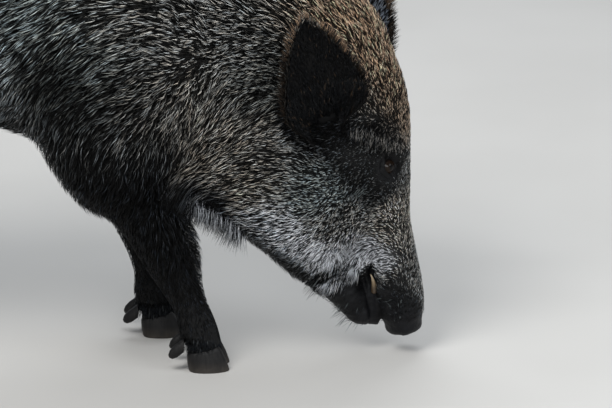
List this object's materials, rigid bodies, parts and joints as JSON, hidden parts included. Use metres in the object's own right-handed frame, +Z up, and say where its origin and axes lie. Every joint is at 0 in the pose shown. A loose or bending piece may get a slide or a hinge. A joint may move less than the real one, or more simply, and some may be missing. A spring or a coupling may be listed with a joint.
{
  "type": "wild boar",
  "caption": "Still life-size wild boar standing with its head lowered and snout near the ground, in a thick bristly coat.",
  "frame": {"origin": "centre of the bottom face of the bounding box, on the ground", "axes": "+X forward to the snout, +Y to the animal's left, +Z up"},
  "size_m": [1.2232, 0.4108, 0.7687],
  "materials": {
    "coat_body": "thick bristly coat of blackish brown hair with cream and grey tips",
    "coat_head": "grizzled hair, warm brown on the forehead, whitish on the cheek",
    "coat_dark": "short blackish hair on legs, ears and tail",
    "hide_dark": "bare dark hide of the lower jaw and the snout pad, slightly moist",
    "hoof": "dark worn horn, dusted with soil",
    "eyeball": "very dark brown wet eye",
    "tusk": "yellowed ivory, stained at the root"
  },
  "bodies": {
    "root": {"ear_left": "coat_dark", "ear_right": "coat_dark", "eye_left": "eyeball", "eye_right": "eyeball", "foreleg_left_claw_inner": "hoof", "foreleg_left_claw_outer": "hoof", "foreleg_left_dewclaw_inner": "hoof", "foreleg_left_dewclaw_outer": "hoof", "foreleg_left_pastern": "coat_dark", "foreleg_left_shin": "coat_dark", "foreleg_left_upper": "coat_body", "foreleg_right_claw_inner": "hoof", "foreleg_right_claw_outer": "hoof", "foreleg_right_dewclaw_inner": "hoof", "foreleg_right_dewclaw_outer": "hoof", "foreleg_right_pastern": "coat_dark", "foreleg_right_shin": "coat_dark", "foreleg_right_upper": "coat_body", "head": "coat_head", "hindleg_left_claw_inner": "hoof", "hindleg_left_claw_outer": "hoof", "hindleg_left_dewclaw_inner": "hoof", "hindleg_left_dewclaw_outer": "hoof", "hindleg_left_pastern": "coat_dark", "hindleg_left_shank": "coat_dark", "hindleg_left_thigh": "coat_body", "hindleg_right_claw_inner": "hoof", "hindleg_right_claw_outer": "hoof", "hindleg_right_dewclaw_inner": "hoof", "hindleg_right_dewclaw_outer": "hoof", "hindleg_right_pastern": "coat_dark", "hindleg_right_shank": "coat_dark", "hindleg_right_thigh": "coat_body", "lower_jaw": "hide_dark", "neck": "coat_body", "nose": "hide_dark", "tail": "coat_dark", "trunk": "coat_body", "tusk_left": "tusk", "tusk_right": "tusk"}
  },
  "joints": []
}
